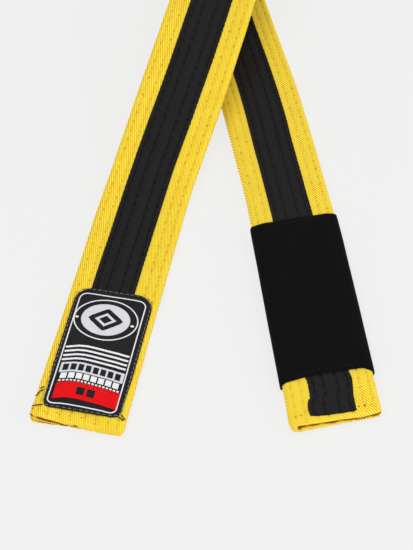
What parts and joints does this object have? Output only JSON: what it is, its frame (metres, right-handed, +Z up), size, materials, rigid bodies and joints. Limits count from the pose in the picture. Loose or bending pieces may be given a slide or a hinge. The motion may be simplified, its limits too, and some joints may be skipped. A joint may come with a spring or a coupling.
{
  "type": "martial arts belt",
  "caption": "Child's grading belt: yellow padded strap with a black centre stripe, rank bar and label, folded flat with both tails crossed in front.",
  "frame": {"origin": "on the table under the bottom layer, where the middle lines of the two tails cross", "axes": "+Z up out of the table; +Y runs back along the bundle, so the two tails point towards -Y; +X to the right"},
  "size_m": [0.1765, 0.5885, 0.0338],
  "materials": {
    "yellow_cotton": "matte cotton twill, sewn in close parallel rows",
    "black_stripe_tape": "matte black cotton tape",
    "core_interlining": "plain unbleached interlining",
    "black_bar_cloth": "deep matte black brushed cotton",
    "label_weave": "fine satin-woven label",
    "red_tab_tape": "bright red satin tape"
  },
  "bodies": {
    "layer_1": {"layer_1_cover": "yellow_cotton", "layer_1_core": "core_interlining", "layer_1_upper_stripe": "black_stripe_tape", "layer_1_lower_stripe": "black_stripe_tape"},
    "layer_2": {"layer_2_cover": "yellow_cotton", "layer_2_core": "core_interlining", "layer_2_upper_stripe": "black_stripe_tape", "layer_2_lower_stripe": "black_stripe_tape"},
    "layer_3": {"layer_3_cover": "yellow_cotton", "layer_3_core": "core_interlining", "layer_3_upper_stripe": "black_stripe_tape", "layer_3_lower_stripe": "black_stripe_tape"},
    "layer_4": {"layer_4_cover": "yellow_cotton", "layer_4_core": "core_interlining", "layer_4_upper_stripe": "black_stripe_tape", "layer_4_lower_stripe": "black_stripe_tape"},
    "layer_5": {"layer_5_cover": "yellow_cotton", "layer_5_core": "core_interlining", "layer_5_upper_stripe": "black_stripe_tape", "layer_5_lower_stripe": "black_stripe_tape"},
    "layer_6": {"layer_6_cover": "yellow_cotton", "layer_6_core": "core_interlining", "layer_6_upper_stripe": "black_stripe_tape", "layer_6_lower_stripe": "black_stripe_tape"},
    "left_tail_upper": {"left_tail_upper_cover": "yellow_cotton", "left_tail_upper_core": "core_interlining", "left_tail_upper_upper_stripe": "black_stripe_tape", "left_tail_upper_lower_stripe": "black_stripe_tape"},
    "left_tail_middle": {"left_tail_middle_cover": "yellow_cotton", "left_tail_middle_core": "core_interlining", "left_tail_middle_upper_stripe": "black_stripe_tape", "left_tail_middle_lower_stripe": "black_stripe_tape"},
    "left_tail_end": {"left_tail_end_cover": "yellow_cotton", "left_tail_end_core": "core_interlining", "left_tail_end_upper_stripe": "black_stripe_tape", "left_tail_end_lower_stripe": "black_stripe_tape", "woven_label": "label_weave", "size_tab": "red_tab_tape"},
    "right_tail_upper": {"right_tail_upper_cover": "yellow_cotton", "right_tail_upper_core": "core_interlining", "right_tail_upper_upper_stripe": "black_stripe_tape", "right_tail_upper_lower_stripe": "black_stripe_tape"},
    "right_tail_end": {"right_tail_end_cover": "yellow_cotton", "right_tail_end_core": "core_interlining", "right_tail_end_upper_stripe": "black_stripe_tape", "right_tail_end_lower_stripe": "black_stripe_tape", "rank_bar_sleeve": "black_bar_cloth"}
  },
  "joints": [
    {"name": "fold_1", "type": "hinge", "parent": "layer_1", "child": "layer_2", "pos_m": [-0.0686, 0.2965, 0.00545], "axis": [-0.9738, -0.2274, 0], "range_deg": [0, 170]},
    {"name": "fold_2", "type": "hinge", "parent": "layer_2", "child": "layer_3", "pos_m": [-0.008, 0.0395, 0.01115], "axis": [0.9944, 0.1057, 0], "range_deg": [0, 170]},
    {"name": "fold_3", "type": "hinge", "parent": "layer_3", "child": "layer_4", "pos_m": [-0.003, 0.2915, 0.01685], "axis": [-0.9998, -0.0213, 0], "range_deg": [0, 170]},
    {"name": "fold_4", "type": "hinge", "parent": "layer_4", "child": "layer_5", "pos_m": [0.013, 0.0355, 0.02255], "axis": [0.9976, -0.0697, 0], "range_deg": [0, 170]},
    {"name": "fold_5", "type": "hinge", "parent": "layer_5", "child": "layer_6", "pos_m": [0.066, 0.2945, 0.02825], "axis": [-0.9778, 0.2097, 0], "range_deg": [0, 170]},
    {"name": "left_tail_upper_lift", "type": "hinge", "parent": "layer_6", "child": "left_tail_upper", "pos_m": [-0.0098, -0.0435, 0.0338], "axis": [-0.9678, 0.2518, 0], "range_deg": [0, 60]},
    {"name": "left_tail_middle_lift", "type": "hinge", "parent": "left_tail_upper", "child": "left_tail_middle", "pos_m": [-0.0247, -0.0935, 0.01958], "axis": [-0.9562, 0.2926, 0], "range_deg": [0, 60]},
    {"name": "left_tail_end_lift", "type": "hinge", "parent": "left_tail_middle", "child": "left_tail_end", "pos_m": [-0.0404, -0.1435, 0.0053], "axis": [-0.9684, 0.2493, 0], "range_deg": [0, 60]},
    {"name": "right_tail_upper_lift", "type": "hinge", "parent": "layer_1", "child": "right_tail_upper", "pos_m": [0.0165, -0.0715, 0.0053], "axis": [-0.9798, -0.1998, 0], "range_deg": [0, 40]},
    {"name": "right_tail_end_lift", "type": "hinge", "parent": "right_tail_upper", "child": "right_tail_end", "pos_m": [0.031, -0.1535, 0.0066], "axis": [-0.9884, -0.1518, 0], "range_deg": [0, 60]}
  ],
  "couplings": [
    {"joint": "fold_2", "follows": "fold_1", "ratio": 1},
    {"joint": "fold_4", "follows": "fold_3", "ratio": 1}
  ]
}
